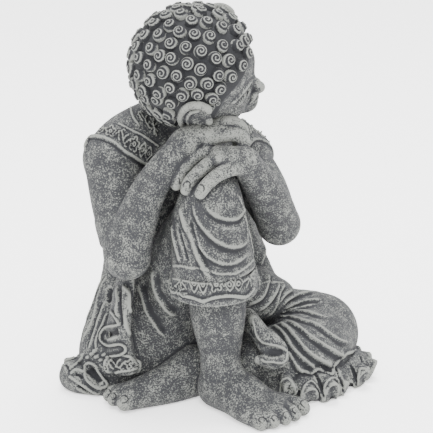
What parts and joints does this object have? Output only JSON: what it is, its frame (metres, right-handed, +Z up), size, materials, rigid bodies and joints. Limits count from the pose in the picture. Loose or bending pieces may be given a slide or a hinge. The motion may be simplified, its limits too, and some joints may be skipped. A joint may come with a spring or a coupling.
{
  "type": "seated figurine",
  "caption": "Solid cast-stone ornament of a robed figure sitting with one knee raised, both hands crossed on it and its curled head resting on the hands.",
  "frame": {"origin": "on the floor, in the middle of the footprint's bounding rectangle", "axes": "+Z up, -Y the way the figure faces, -X towards its right hand; the longest extent is the height"},
  "size_m": [0.1811, 0.1626, 0.2494],
  "materials": {
    "cast_stone": "matt slate-grey cast stone, dry-brushed with a paler grey on the raised edges"
  },
  "bodies": {
    "root": {"ear_right": "cast_stone", "ear_left": "cast_stone", "face": "cast_stone", "hair": "cast_stone", "right_hand": "cast_stone", "left_hand": "cast_stone", "right_forearm": "cast_stone", "left_forearm": "cast_stone", "right_upper_arm": "cast_stone", "left_upper_arm": "cast_stone", "right_foot": "cast_stone", "right_shin": "cast_stone", "knee_drape_border": "cast_stone", "knee_drape": "cast_stone", "right_thigh_robe": "cast_stone", "left_foot": "cast_stone", "neck": "cast_stone", "shoulder_robe_right": "cast_stone", "shoulder_robe_left": "cast_stone", "torso": "cast_stone", "lap_sash": "cast_stone", "cloth_fold": "cast_stone", "left_thigh_robe": "cast_stone", "left_shin_robe": "cast_stone", "robe_edge": "cast_stone", "skirt": "cast_stone", "hem_right": "cast_stone", "hem_back": "cast_stone", "hem_left": "cast_stone", "hem_front": "cast_stone"}
  },
  "joints": []
}
